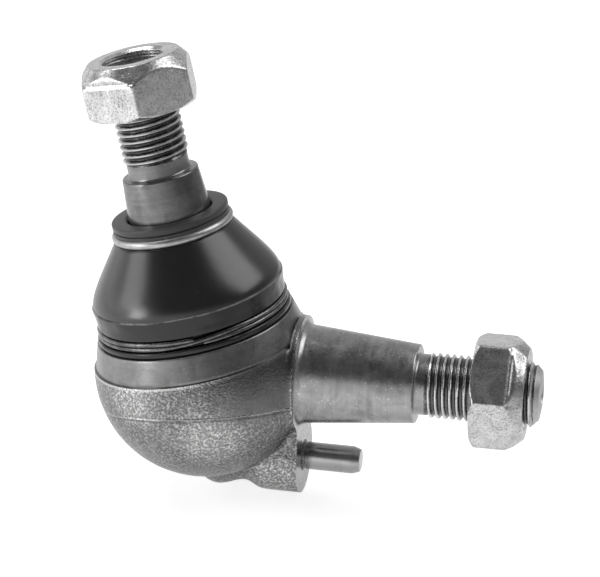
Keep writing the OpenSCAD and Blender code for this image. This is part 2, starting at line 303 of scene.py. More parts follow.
def new_group(name, kind, inputs, outputs):
    """Empty node group. Each input is named with its default number or its kind of socket."""
    group = bpy.data.node_groups.new(name, kind)
    for label, value in inputs.items():
        number_kind = NUMBER_SOCKETS.get(type(value))
        socket = group.interface.new_socket(label, in_out="INPUT", socket_type=number_kind or value)
        if number_kind:
            socket.default_value = value
    for label, socket_type in outputs.items():
        group.interface.new_socket(label, in_out="OUTPUT", socket_type=socket_type)
    given = {output.name: Value(output) for output in add(group, "NodeGroupInput").outputs}
    print("group:", name)
    return group, given, add(group, "NodeGroupOutput").inputs


def shader_group(name, inputs, *outputs):
    inputs = {"Vector": "NodeSocketVector", **inputs}
    return new_group(name, "ShaderNodeTree", inputs, dict.fromkeys(outputs, FLOAT))


def geometry_tree(name, **inputs):
    inputs = {label.replace("_", " "): value for label, value in inputs.items()}
    inputs = {"Geometry": GEOMETRY, **inputs, "Material": "NodeSocketMaterial"}
    return new_group(name, "GeometryNodeTree", inputs, {"Geometry": GEOMETRY})


def apply_tree(piece, tree, **values):
    """Runs a Geometry Nodes tree on a piece with named values, then keeps only its mesh."""
    modifier = piece.modifiers.new(tree.name, "NODES")
    modifier.node_group = tree
    for item in tree.interface.items_tree:
        label = item.name.replace(" ", "_").lower()
        if item.in_out == "INPUT" and label in values:
            modifier[item.identifier] = values[label]
    return bake_modifiers(piece)


# %% [markdown]
# ## Finishes
# The whole photograph is grey, so shape and finish have to do what colour usually does. Four effects
# come back on several pieces: the orange peel of a forged skin, fine bright specks, the rings that a
# lathe leaves, and soft blotches. Each is a shader group with named inputs, in mm where it is a size.
# It puts out only masks and heights, and each material places it with its own values.

# %% Shader group: forged orange peel
METRE = 1 / MM


def noise(at, scale, detail, **more):
    return take(at.tree, "ShaderNodeTexNoise", {"Vector": at, "Scale": scale, "Detail": detail, **more})


orange_peel, given, out = shader_group("Orange Peel", {"Grain Size": 1.0, "Lump Size": 5.0},
                                       "Height", "Tone", "Fleck")
grain_scale = METRE / given["Grain Size"]
grain = noise(given["Vector"], grain_scale, 3.0, Roughness=0.6)
lumps = noise(given["Vector"], METRE / given["Lump Size"], 2.0)
pits = take(orange_peel, "ShaderNodeTexVoronoi", {"Vector": given["Vector"], "Scale": grain_scale},
            "Distance", feature="SMOOTH_F1")
# The third output marks the peaks of the grain, where the forged skin gets painted glints
feed_all(out, {"Height": lumps * 0.5 + (grain * 0.6 + pits * 0.35),
               "Tone": ease(lumps, 0.3, 0.7),
               "Fleck": ease(grain, 0.42, 0.68)})

# %% Shader group: fine specks
fine_specks, given, out = shader_group("Fine Specks", {"Spacing": 0.7, "Amount": 0.5}, "Mask")
cells = add(fine_specks, "ShaderNodeTexVoronoi",
            {"Vector": given["Vector"], "Scale": METRE / given["Spacing"]}, feature="F1").outputs
chance = take(fine_specks, "ShaderNodeSeparateColor", {0: Value(cells["Color"])})
chosen = calc("LESS_THAN", chance, given["Amount"])
feed(out["Mask"], chosen * ease(Value(cells["Distance"]), 0.35, 0.1))

# %% Shader group: lathe rings along Z
lathe_rings, given, out = shader_group("Lathe Rings", {"Spacing": 0.25}, "Height", "Tone")
along = parts(given["Vector"])[2]
for label, times_wider, detail in (("Height", 1.0, 2.0), ("Tone", 5.0, 3.0)):
    feeds = {"Scale": METRE / (given["Spacing"] * times_wider), "W": along, "Detail": detail}
    feed(out[label], take(lathe_rings, "ShaderNodeTexNoise", feeds, noise_dimensions="1D"))

# %% Shader group: soft blotches
blotches, given, out = shader_group("Blotches", {"Size": 4.0, "Sharpness": 0.5}, "Tone", "Fine")
cloud = noise(given["Vector"], METRE / given["Size"], 5.0, Roughness=0.62, Distortion=0.6)
reach = given["Sharpness"] * -0.22 + 0.25
feed_all(out, {"Tone": ease(cloud, 0.5 - reach, 0.5 + reach),
               "Fine": noise(given["Vector"], 6 * METRE / given["Size"], 4.0)})

# %% Helpers for materials
def new_material(name):
    """Material with a Principled shader, and the coordinates of the piece."""
    material = bpy.data.materials.new(name)
    material.use_nodes = True
    print("material:", name)
    return material, take(material.node_tree, "ShaderNodeTexCoord", output="Object")


def along_axis(at, axes):
    """Coordinates turned so that Z runs along a piece's own axis and starts at its origin."""
    undo = axes.inverted()
    feeds = {"Vector": at, "Location": undo.to_translation(), "Rotation": undo.to_euler("XYZ")}
    return take(at.tree, "ShaderNodeMapping", feeds, vector_type="POINT")


def use_group(group, at, **values):
    """Places a shader group with inputs given by name, and returns its outputs by name."""
    feeds = {label.replace("_", " ").title(): value for label, value in values.items()}
    made = add(at.tree, "ShaderNodeGroup", {"Vector": at, **feeds}, node_tree=group)
    return {output.name: Value(output) for output in made.outputs}


def grey(level, blue=None):
    return level, level, level if blue is None else blue, 1.0


def ramp(value, *stops):
    """Colour ramp with (place, grey level or colour) stops."""
    made = add(value.tree, "ShaderNodeValToRGB", {0: value})
    elements = made.color_ramp.elements
    while len(elements) < len(stops):
        elements.new(0.5)
    for element, (position, colour) in zip(elements, stops):
        element.position = position
        element.color = grey(colour) if isinstance(colour, float) else colour
    return Value(made.outputs[0])


def mix(first, second, share):
    """Colour that goes from the first to the second as the share goes from 0 to 1."""
    feeds = {"Factor": share, 6: first, 7: second}
    return take(share.tree, "ShaderNodeMix", feeds, 2, data_type="RGBA", blend_type="MIX")


def dress(material, colour, rough, relief, depth_mm, metal=0.0, **more):
    """Gives a material's Principled shader its colour, roughness, metal and small relief."""
    feeds = {"Height": relief, "Strength": 1.0, "Distance": depth_mm * MM}
    raised = take(relief.tree, "ShaderNodeBump", feeds)
    feed_all(material.node_tree.nodes["Principled BSDF"].inputs,
             {"Base Color": colour, "Roughness": rough, "Metallic": metal, "Normal": raised, **more})
    return material


# %% [markdown]
# The housing's forging is black from the press and shot-blasted, so its skin is a dull dark grey with
# an orange-peel grain. Its brighter flecks are painted glints on the grain, and three soft spots of
# painted highlight stand in for the floor's reflection. A parting line from the two halves of the
# forging die crosses the bowl, with a painted highlight on its ridge and painted shade under it, and
# the skin is smoother close to the flange.

# %% Material: forged skin
# Centres and reaches in mm of three spots of painted highlight on the forged skin
PAINTED_HIGHLIGHT_SPOTS = (((-15.0, -22.1, -6.8), 10.5), ((-32.1, -21.6, -0.6), 7.5), ((-4.0, -8.5, -22.0), 9.0))


def forged_skin():
    material, at = new_material("Forged skin")
    peel = use_group(orange_peel, at, grain_size=0.50, lump_size=5.0)
    specks = use_group(fine_specks, at, spacing=0.5, amount=0.3)
    x, y, z = parts(at)
    # Parting line: a tilted plane through the bowl, the same on both sides of the part
    parting = x * 0.118 + (abs(y) * 0.268 - 6.2 * MM)
    over = z - parting + (peel["Height"] - 0.6) * (0.5 * MM)
    on_bowl = ease(z, -15.5 * MM, -14.5 * MM)
    ridge = ease(abs(over), 0.26 * MM, 0.04 * MM) * on_bowl
    shade = ease(abs(over + 0.42 * MM), 0.3 * MM, 0.05 * MM) * on_bowl
    # Smoother, darker skin beside the flange
    calm = ease(x, -19 * MM, -7 * MM) * ease(z, -6 * MM, 0.0)
    grain_left = calm * -0.75 + 1.0
    # Painted highlights: three soft spots of the skin made brighter and given more bright flecks, standing
    # in for the floor's reflection
    near_spots = []
    for spot, spot_reach in PAINTED_HIGHLIGHT_SPOTS:
        apart = take(at.tree, "ShaderNodeVectorMath", {0: at, 1: Vector(spot) * MM}, "Value",
                     operation="DISTANCE")
        near_spots.append(ease(apart, spot_reach * MM, 2.0 * MM))
    painted_highlight = largest(*near_spots)
    # Painted highlights as bright lines: on the ridge of the parting line, along the edge of the flange
    # face, along the land's lower edge
    face_edge_highlight = ease(x, -0.5 * MM, -0.1 * MM) * peel["Fleck"]
    up = parts(along_axis(at, on_socket))[2]
    land_edge_highlight = ease(up, (LAND_Z - 0.75) * MM, (LAND_Z - 0.15) * MM)
    highlight_lines = largest(ridge * 0.35, face_edge_highlight * 0.8, land_edge_highlight * (grain_left * 0.7))
    # Colour of the skin: a dark peel tone, painted glints on the grain (more of them in the painted
    # highlight spots), a painted highlight over those spots, fine specks, the darker calm skin, painted
    # shade under the parting ridge, and the lines of painted highlight
    tone = ramp(peel["Tone"], (0.0, 0.13), (1.0, 0.19))
    tone = mix(tone, grey(0.80, 0.795), peel["Fleck"] * ((painted_highlight * 0.56 + 0.44) * grain_left))
    # Painted highlight over the three spots
    tone = mix(tone, grey(0.60, 0.595), painted_highlight * 0.22)
    tone = mix(tone, grey(0.75, 0.74), specks["Mask"] * (grain_left * 0.3))
    tone = mix(tone, grey(0.13, 0.133), calm * 0.6)
    tone = mix(tone, grey(0.10), shade * 0.45)
    # The lines of painted highlight
    tone = mix(tone, grey(0.72, 0.71), highlight_lines)
    rough = calm * -0.04 + (peel["Tone"] * 0.08 + 0.24)
    relief = ridge * 0.35 + (shade * -0.15 + peel["Height"] * grain_left)
    return dress(material, tone, rough, relief, 0.42, metal=0.95)


skin = forged_skin()

# %% [markdown]
# Where a lathe has cut the steel it is smooth, with very fine rings across the axis and a few specks
# left by handling. One recipe makes all such surfaces, and each gets its own grey and roughness.

# %% Material recipe: turned steel
def turned_steel(name, axes, dark, light, rough, ring_mm=0.22, specks_share=0.35, ring_depth=0.004,
                 metal=0.9):
    material, at = new_material(name)
    rings = use_group(lathe_rings, along_axis(at, axes), spacing=ring_mm)
    clouds = use_group(blotches, at, size=5.0, sharpness=0.3)
    specks = use_group(fine_specks, at, spacing=0.6, amount=0.22)
    tone = ramp(rings["Tone"] * 0.5 + clouds["Tone"] * 0.5, (0.2, dark), (0.8, light))
    tone = mix(tone, grey(min(1.0, light * 2.2)), specks["Mask"] * specks_share)
    rough = clouds["Tone"] * 0.05 + (clouds["Fine"] * 0.12 + (rough - 0.06))
    return dress(material, tone, rough, clouds["Fine"] * 1.2 + rings["Height"], ring_depth, metal)


land_steel = turned_steel("Turned land", on_socket, 0.19, 0.29, 0.28, ring_mm=0.3, ring_depth=0.008)
shank_steel = turned_steel("Shank taper", on_shank, 0.28, 0.46, 0.26, specks_share=0.5,
                           ring_depth=0.010, metal=1.0)
face_steel = turned_steel("Flange face", on_shank, 0.52, 0.66, 0.42, ring_mm=0.5)
stud_steel = turned_steel("Stud taper", on_socket, 0.16, 0.26, 0.17, specks_share=0.12)
dowel_steel = turned_steel("Ground dowel", on_dowel, 0.42, 0.5, 0.18, ring_mm=0.12, specks_share=0.15)
ring_steel = turned_steel("Closing ring", on_socket, 0.42, 0.55, 0.34)

# %% [markdown]
# A thread is bright on its crests, where tools and nuts have rubbed it, and dark in its roots, where
# oil and phosphate stay. The distance from the axis tells the two apart, so one mask does it.

# %% Material recipe: rolled thread
DARK_BELOW_R, BRIGHT_ABOVE_R = 6.25 * MM, 6.95 * MM


def rolled_thread(name, axes, dark, light, rough):
    material, at = new_material(name)
    x, y = parts(along_axis(at, axes))[:2]
    radius = calc("SQRT", x ** 2.0 + y ** 2.0)
    clouds = use_group(blotches, at, size=2.5, sharpness=0.4)
    broken_up = (clouds["Tone"] * 0.35 + clouds["Fine"] * 1.2 - 0.8) * (0.75 * MM)
    crest = ease(radius + broken_up, DARK_BELOW_R, BRIGHT_ABOVE_R)
    tone = ramp(crest, (0.0, dark), (0.55, (dark + light) / 2.5), (0.9, light))
    rough = crest * -0.1 + (clouds["Fine"] * 0.2 + (rough - 0.1))
    return dress(material, tone, rough, clouds["Fine"], 0.02, metal=0.95)


shank_thread_steel = rolled_thread("Shank thread", on_shank, 0.13, 0.78, 0.28)
stud_thread_steel = rolled_thread("Stud thread", on_socket, 0.06, 0.62, 0.26)

# %% [markdown]
# The boot is moulded rubber with a soft shine. Its bell was polished by the mould, and its top disc
# and its rims are duller. Dust sits in fine specks. Rubber has no metal in it, so its highlights are
# white and weak, and the roughness does most of the work.

# %% Material: boot rubber
FLASH_Z = 18.12
DISC_FROM, DISC_TO = 32.6, 33.0


def boot_rubber(name, polish, grit, waves):
    material, at = new_material(name)
    up = parts(along_axis(at, on_socket))[2]
    clouds = use_group(blotches, at, size=7.0, sharpness=0.1)
    specks = use_group(fine_specks, at, spacing=1.1, amount=0.1)
    wavy = use_group(orange_peel, at, grain_size=5.0, lump_size=11.0)["Tone"]
    disc = ease(up, DISC_FROM * MM, DISC_TO * MM)
    flash = ease(abs(up - FLASH_Z * MM), 0.24 * MM, 0.08 * MM) * clouds["Tone"]
    tone = ramp(clouds["Tone"], (0.0, 0.009), (1.0, 0.014))
    tone = mix(tone, grey(0.32), flash * 0.8)
    tone = mix(tone, grey(0.05), disc)
    tone = mix(tone, grey(0.3), specks["Mask"] * (disc * 0.25 + 0.05))
    rough = disc * 0.2 + (clouds["Fine"] * 0.06 + grit)
    relief = wavy * (disc * -waves + waves) + clouds["Fine"]
    return dress(material, tone, rough, relief, 0.012, **{"Specular IOR Level": polish})


rubber = boot_rubber("Boot rubber", 0.9, 0.23, 0.0)
dull_rubber = boot_rubber("Dull boot rubber", 0.55, 0.17, 30.0)

# %% [markdown]
# Both nuts are zinc plated. Zinc is bright and a little cloudy: the crystals and the tumbling in the
# plating drum leave fine mottling, grey stains and small dents.

# %% Material: zinc plating
def zinc_plate():
    material, at = new_material("Zinc plate")
    clouds = use_group(blotches, at, size=2.2, sharpness=0.45)
    wide = use_group(blotches, at, size=9.0, sharpness=0.2)
    specks = use_group(fine_specks, at, spacing=0.9, amount=0.35)
    stained = ease(clouds["Fine"], 0.50, 0.62) * (wide["Tone"] * -0.5 + 0.9)
    tone = ramp(clouds["Tone"] * 0.55 + wide["Tone"] * 0.45, (0.15, 0.58), (0.85, 0.79))
    tone = mix(tone, grey(0.86), specks["Mask"] * 0.4)
    tone = mix(tone, grey(0.22), stained)
    rough = wide["Tone"] * 0.08 + (clouds["Fine"] * 0.16 + 0.17)
    relief = clouds["Tone"] * 0.6 + (specks["Mask"] * -0.5 + clouds["Fine"])
    return dress(material, tone, rough, relief, 0.03, metal=1.0)


zinc = zinc_plate()

# %% [markdown]
# The upper ring is bright drawn wire and the lower one is darker spring wire. The seat inside is cream
# plastic, with the faint cloudiness of a moulding.

# %% Materials: wires and plastic
def cloudy(name, dark, light, rough, metal=1.0, size=3.0, sharpness=0.3, grit=0.16, depth_mm=0.01):
    """Even surface with only soft blotches in its tone and its shine."""
    material, at = new_material(name)
    clouds = use_group(blotches, at, size=size, sharpness=sharpness)
    tone = ramp(clouds["Tone"], (0.0, dark), (1.0, light))
    return dress(material, tone, clouds["Fine"] * grit + rough, clouds["Fine"], depth_mm, metal)


bright_wire = cloudy("Bright wire", 0.38, 0.54, 0.28)
spring_wire = cloudy("Spring wire", 0.10, 0.20, 0.20)
plastic = cloudy("Liner plastic", (0.74, 0.71, 0.62, 1.0), (0.8, 0.78, 0.69, 1.0), 0.42, metal=0.0,
                 size=6.0, sharpness=0.1, grit=0.1, depth_mm=0.02)

# %% [markdown]
# ## Threads
# Both ends carry an M14 thread with a pitch of 1.5 mm. A thread follows a rule, so Geometry Nodes make
# it: a flat grid is rolled round the axis, and each row climbs by one pitch per turn. Rows past an end
# are held there and merged, so the thread starts in its relief groove, ends in a chamfer, and is a
# closed solid that can be joined to the turned body.

# %% Helpers for Geometry Nodes
MERGE_AT = 2e-6


def unit_grid(tree, columns, rows):
    """Flat grid, with the share of the way across and of the way up at each point."""
    feeds = {"Size X": 1.0, "Size Y": 1.0, "Vertices X": columns, "Vertices Y": rows}
    grid = take(tree, "GeometryNodeMeshGrid", feeds, "Mesh")
    x, y = parts(take(tree, "GeometryNodeInputPosition"))[:2]
    return grid, calc("ADD", x, 0.5, use_clamp=True), calc("ADD", y, 0.5, use_clamp=True)


def roll_up(geometry, radius, angle, height):
    """Moves each point to its radius, angle and height about Z."""
    feeds = {0: radius * calc("COSINE", angle), 1: radius * calc("SINE", angle), 2: height}
    spot = take(geometry.tree, "ShaderNodeCombineXYZ", feeds)
    return take(geometry.tree, "GeometryNodeSetPosition", {"Geometry": geometry, "Position": spot})


def close_tree(geometry, given, out, merge=False):
    """Merges doubles where asked, then ends a tree in Realize Instances and Set Material."""
    if merge:
        feeds = {"Geometry": geometry, "Distance": MERGE_AT}
        geometry = take(geometry.tree, "GeometryNodeMergeByDistance", feeds)
    geometry = take(geometry.tree, "GeometryNodeRealizeInstances", {"Geometry": geometry})
    feeds = {"Geometry": geometry, "Material": given["Material"]}
    feed(out["Geometry"], take(geometry.tree, "GeometryNodeSetMaterial", feeds))
    print("tree:", geometry.tree.name, "with", len(geometry.tree.nodes), "nodes")


# %% Geometry Nodes tree: thread, M14 as long as its call doesn't say otherwise
TIP_R = 5.3

thread_tree, given, out = geometry_tree(
    "Cut Thread", Pitch=1.5 * MM, Crest_Radius=7.0 * MM, Root_Radius=6.22 * MM, Start=0.0,
    End=16.0 * MM, Start_Radius=6.5 * MM, Run_Out=1.0 * MM, End_Radius=TIP_R * MM, Chamfer=1.7 * MM,
    Columns=97, Rows_Per_Turn=14)
start, end, pitch, per_turn = (given[label] for label in ("Start", "End", "Pitch", "Rows Per Turn"))
steps_up = calc("CEIL", ((end - start) / pitch + 2.0) * per_turn)
grid, turn, row = unit_grid(thread_tree, given["Columns"], steps_up + 1.0)
climb = (row * steps_up - 1.0) / per_turn - 1.0
free_height = (climb + turn) * pitch + start
thread_height = calc("MINIMUM", largest(free_height, start), end)

# Thread form, run-out, chamfer and closed ends
phase = calc("FRACT", (thread_height - start) / pitch - turn)
form = ease(abs(phase * 2.0 - 1.0), 0.2, 0.88, given["Root Radius"], given["Crest Radius"])
grown = ease(thread_height, start, start + given["Run Out"])
form = (form - given["Start Radius"]) * grown + given["Start Radius"]
slope = (given["Crest Radius"] - given["End Radius"]) / given["Chamfer"]
form = calc("MINIMUM", form, (end - thread_height) * slope + given["End Radius"])
inside = calc("GREATER_THAN", row, 0.0005) * calc("LESS_THAN", row, 0.9995)
rolled = roll_up(grid, form * inside, turn * FULL_TURN, thread_height)
close_tree(rolled, given, out, merge=True)

# %% [markdown]
# The threaded end is one solid: the thread itself, a slightly domed end face, and the centre hole that
# the lathe's tailstock used. The stud and the shank have the same end, only at another height.

# %% Threaded ends
TIP_DOME = 0.4


def thread_solid(name, start, end, axes, material, **changes):
    """Closed thread from height start to end in mm, along an axis of the part."""
    piece = place(name, bpy.data.meshes.new(name))
    apply_tree(piece, thread_tree, start=start * MM, end=end * MM, material=material, **changes)
    piece.data.transform(axes)
    return piece


def threaded_end(name, start, end, axes, material):
    """Thread with its domed end face and centre hole."""
    piece = thread_solid(name, start, end - TIP_DOME, axes, material)
    rim_r = TIP_R - 0.02
    dome = turned("dome", [
        (0, end - 1.2), (rim_r, end - 1.2), (rim_r, end - TIP_DOME, 0.1), (3.6, end - 0.13, 0.8),
        (0, end)], axes)
    hole = turned("hole", [
        (0, end - 5), (2.0, end - 3), (2.0, end - 0.45), (2.5, end + 0.3), (0, end + 0.3)],
        axes, around=64)
    join(piece, dome)
    cut(piece, hole)
    return piece


# %% [markdown]
# ## Housing
# The blank is drop forged, so its lumps flow into each other: bowl, rib, lug and the foot of the
# shank. Simple closed lumps are laid over each other, and a voxel remesh melts them into one skin.
# Smoothing then rounds the hollows between them, as the radius of a forging die does, and a small
# Geometry Nodes tree adds the uneven surface of hot metal. It only ever moves the skin inwards, so the
# blank stays inside the CAD model's box.

# %% Lumps of the forging
BOWL_R, BOWL_DROP, BOWL_TOP = 24.05, 0.35, 11.7
LAND_H, LAND_R, LAND_SLOPE = 5.5, 23.06, math.tan(math.radians(16.5))
LUG_R, LUG_L, WAIST_R, WAIST_X, HEEL_R, HEEL_X, HEEL_END = 8.3, 8.2, 6.7, 12.4, 8.1, 18.4, 6.2
WEB_W, PAD_R, PAD_T = 14.4, 12.5, 2.5
PAST_FACE = 3.0


def swell(a, b, s):
    """Smooth way from a to b, level at both ends."""
    return a + (b - a) * (1 - math.cos(math.pi * s)) / 2


bowl = arc(BOWL_R, -87, 30, 79, (0, -BOWL_DROP))
housing = turned("housing_forging", [(0, -BOWL_R - BOWL_DROP), *bowl, (0, BOWL_TOP)], on_socket)
rib_outline = [(0, -HEEL_X - HEEL_END)]
for k in range(1, 17):
    depth = math.cos(math.radians(90 * k / 16))
    rib_outline.append((HEEL_R * math.sqrt(1 - depth ** 2), -HEEL_X - HEEL_END * depth))
for r, x, next_r, next_x in ((HEEL_R, HEEL_X, WAIST_R, WAIST_X), (WAIST_R, WAIST_X, LUG_R, LUG_L)):
    for k in range(1, 9):
        rib_outline.append((swell(r, next_r, k / 8), -x + (x - next_x) * k / 8))
rib = turned("rib", rib_outline + [(LUG_R, PAST_FACE), (0, PAST_FACE)], on_dowel)
web = solid_box("web", (-LUG_L, -WEB_W / 2, -19.5), (PAST_FACE, WEB_W / 2, 0))
pad = turned("pad", [
    (0, -PAD_T - 3), (PAD_R - 2, -PAD_T - 3), (PAD_R, -PAD_T, 0.6), (PAD_R, PAST_FACE),
    (0, PAST_FACE)], on_shank)
join(housing, rib, web, pad)
tell(housing)

# %% Geometry Nodes tree: uneven forged surface
relief_tree, given, out = geometry_tree(
    "Forged Relief", Depth=0.1 * MM, Lump_Size=6.0 * MM, Grain_Size=1.2 * MM, Grain_Share=0.3)
lump_wave, grain_wave = (
    take(relief_tree, "ShaderNodeTexNoise", {"Detail": 1.0, "Scale": 1.0 / given[label]})
    for label in ("Lump Size", "Grain Size"))
both_waves = take(relief_tree, "ShaderNodeMix",
                  {"Factor": given["Grain Share"], "A": lump_wave, "B": grain_wave}, data_type="FLOAT")
outward = take(relief_tree, "GeometryNodeInputNormal")
push = take(relief_tree, "ShaderNodeVectorMath",
            {0: outward, "Scale": both_waves * (given["Depth"] * -1.0)}, operation="SCALE")
pushed = take(relief_tree, "GeometryNodeSetPosition", {"Geometry": given["Geometry"], "Offset": push})
close_tree(pushed, given, out)

# %% Melt the lumps into one forging
remesh = housing.modifiers.new("melt", "REMESH")
remesh.mode = "VOXEL"
remesh.voxel_size = 0.40 * MM
die_radius = housing.modifiers.new("die radius", "SMOOTH")
die_radius.factor = 0.5
die_radius.iterations = 22
bake_modifiers(housing)
apply_tree(housing, relief_tree, depth=0.16 * MM, lump_size=7.0 * MM, grain_size=1.3 * MM,
           grain_share=0.35, material=skin)
tell(housing)

# %% [markdown]
# The lathe and the mill come next, in the order of a machine shop. The flange face is faced off, the
# land round the socket's mouth is turned, and the thin neck is rolled in over the closing ring. The
# shank's taper is turned, its relief is cut and its thread is rolled. Each cut is a boolean with a
# plain tool solid, so the forged skin ends exactly where the steel was touched.

# %% Face off the flange and turn the land
FAR = 60
NECK_R, MOUTH_R, NECK_TOP = 18.8, 17.0, 15.6
ROOM_R, RING_SHELF_R, RING_SHELF_Z = 17.15, 15.4, 13.5

cut(housing, solid_box("face mill", (0, -FAR, -FAR), (FAR, FAR, FAR)))
above_land = solid_box("above land", (-FAR, -FAR, LAND_Z), (FAR, FAR, FAR), on_socket)
keep_pad = turned("keep pad", [
    (0, -1.5), (PAD_R - 0.4, -1.5), (PAD_R + 0.2, -1.0, 0.3), (PAD_R + 0.2, 20), (0, 20)], on_shank)
cut(above_land, keep_pad)
cut(housing, above_land)
land_top_r, land_top_z = LAND_R - LAND_H * LAND_SLOPE, LAND_Z + LAND_H
land_rows = [(LAND_R + (land_top_r - LAND_R) * k / 14, LAND_Z + LAND_H * k / 14) for k in range(1, 14)]
neck = turned("neck", [
    (0, -6), (LAND_R - 3, -6), (LAND_R - 3, LAND_Z - 0.6), (LAND_R - 0.16, LAND_Z - 0.02),
    (LAND_R - 0.16, LAND_Z + 0.14), *land_rows, (land_top_r, land_top_z, 0.25),
    (NECK_R, land_top_z, 0.2), (NECK_R, RING_SHELF_Z, 0.6), (18.2, 14.55, 0.8),
    (MOUTH_R, NECK_TOP, 0.3), (0, NECK_TOP)], on_socket, around=256)
join(housing, neck)
socket_room = turned("socket room", [
    (0, -17.1), (7, -17.1, 0.3), (ROOM_R, -6.95, 0.5), (ROOM_R, RING_SHELF_Z),
    (RING_SHELF_R, RING_SHELF_Z), (RING_SHELF_R, 15.3), (15.7, 16.6), (0, 16.6)], on_socket)
cut(housing, socket_room)
tell(housing)

# %% Turn the shank and add its thread
SHANK_ROOT_R, SHANK_END_R, TAPER_L, SHANK_L = 10.7, 8.4, 24.7, 51.0
ROOT_FILLET, SHANK_RELIEF_R, THREAD_X = 1.75, 6.5, TAPER_L + 2.0
PIN_HOLE_R = 3.01

taper_slope = (SHANK_ROOT_R - SHANK_END_R) / TAPER_L
fillet_centre = (SHANK_ROOT_R - taper_slope * ROOT_FILLET + ROOT_FILLET, ROOT_FILLET)
root_fillet = arc(ROOT_FILLET, 268, 180, 12, fillet_centre)
shank = turned("shank", [
    (0, -5), (9, -5), (root_fillet[0][0], -0.1), *root_fillet, (SHANK_END_R, TAPER_L, 0.35),
    (SHANK_RELIEF_R, TAPER_L, 0.45), (SHANK_RELIEF_R, TAPER_L + 2.2), (5.6, TAPER_L + 2.6),
    (0, TAPER_L + 2.6)], on_shank, around=160)
join(housing, shank)
shank_thread = threaded_end("shank_thread", THREAD_X, SHANK_L, on_shank, shank_thread_steel)
join(housing, shank_thread)
dowel_hole = turned("dowel hole", [
    (0, -8.6), (PIN_HOLE_R, -8.6), (PIN_HOLE_R, -0.5), (3.7, 0.2), (0, 0.2)], on_dowel)
cut(housing, dowel_hole)
tell(housing)

# %% [markdown]
# The cuts leave one mesh. A face's finish follows from where it lies: on the flange plane, inside the
# turned profile of the land, or out along the shank. All other faces keep the forged skin.

# %% Finishes of the housing, by place
def face_table(piece, kind):
    """The center or the normal of every face."""
    table = np.empty(len(piece.data.polygons) * 3)
    piece.data.polygons.foreach_get(kind, table)
    return table.reshape(-1, 3)


def in_axes(piece, axes):
    """Radius and height of every face about an axis of the part, in mm."""
    undo = np.array(axes.inverted())
    x, y, z = (face_table(piece, "center") @ undo[:3, :3].T + undo[:3, 3]).T / MM
    return np.hypot(x, y), z


def set_finishes(piece, materials, numbers):
    piece.data.materials.clear()
    for material in materials:
        piece.data.materials.append(material)
    piece.data.polygons.foreach_set("material_index", numbers.astype(np.int32))
    piece.data.update()


SKIN, LAND, FACE, SHANK, THREAD = range(5)
NEAR = 0.03

socket_r, socket_h = in_axes(housing, on_socket)
shank_r, shank_x = in_axes(housing, on_shank)
faces_out = face_table(housing, "normal")[:, 0]
numbers = np.full(len(shank_x), SKIN)
land_profile = np.clip(LAND_R - (socket_h - LAND_Z) * LAND_SLOPE, 0, FAR)
numbers[(socket_h > LAND_Z - NEAR) & (socket_r < land_profile + NEAR)] = LAND
numbers[(abs(socket_h - LAND_Z) < NEAR) & (socket_r > LAND_R - 0.2)] = FACE
numbers[(socket_r < ROOM_R + 0.05) & (socket_h > -17.3)] = LAND
numbers[(shank_x > -0.05) & (faces_out > 0.97)] = FACE
numbers[(shank_x > 0.02) & (shank_r < 14)] = SHANK
numbers[shank_x > THREAD_X] = THREAD
numbers[(shank_x > SHANK_L - 2.4) & (faces_out > 0.45) & (shank_r < 6.7)] = FACE
numbers[(numbers == FACE) & (shank_r < 13.4) & (shank_x < 1)] = SHANK
set_finishes(housing, [skin, land_steel, face_steel, shank_steel, shank_thread_steel], numbers)
soften(housing, 38)
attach(housing, "housing")
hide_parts("housing")
print("faces per finish:", np.bincount(numbers))

# %% [markdown]
# ## Dowel
# A plain hardened pin locates the joint in its carrier. It has a lead-in chamfer at the free end and a
# small relief where it leaves the face. Its edges are rounded a little, to catch a line of light.

# %% Dowel pin
PIN_R, PIN_RELIEF_R, PIN_CHAMFER_R, PIN_END = 3.0, 2.65, 2.43, 12.6

dowel = turned("dowel_pin_ground", [
    (0, -8.3), (2.5, -8.3, 0.1), (PIN_R, -7.8, 0.1), (PIN_R, -0.7, 0.1), (PIN_RELIEF_R, -0.7, 0.1),
    (PIN_RELIEF_R, 0.7, 0.1), (PIN_R, 0.7, 0.15), (PIN_R, 10.9, 0.4), (PIN_CHAMFER_R, PIN_END, 0.25),
    (0, PIN_END)], on_dowel, around=96)
dowel.data.materials.append(dowel_steel)
soften(dowel)
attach(dowel, "housing")
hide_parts("dowel_pin")
tell(dowel)

# %% [markdown]
# ## Ball stud
# The stud is one forging too, but it is turned all over. Most of it hides in the socket. What shows is
# the collar in the boot's disc, the taper that wedges into the steering arm, a short relief and the
# thread. The whole outline is drawn once, and the threaded end is joined on.

# %% Ball stud
BALL_R, BALL_FLAT, STUD_NECK_R, COLLAR_R = 14.5, -13.4, 7.0, 9.0
TAPER_TOP_R, TAPER_TOP_Z, STUD_RELIEF_R, STUD_THREAD_Z, STUD_TIP = 8.083, 44, 6.5, 47.0, 63.0

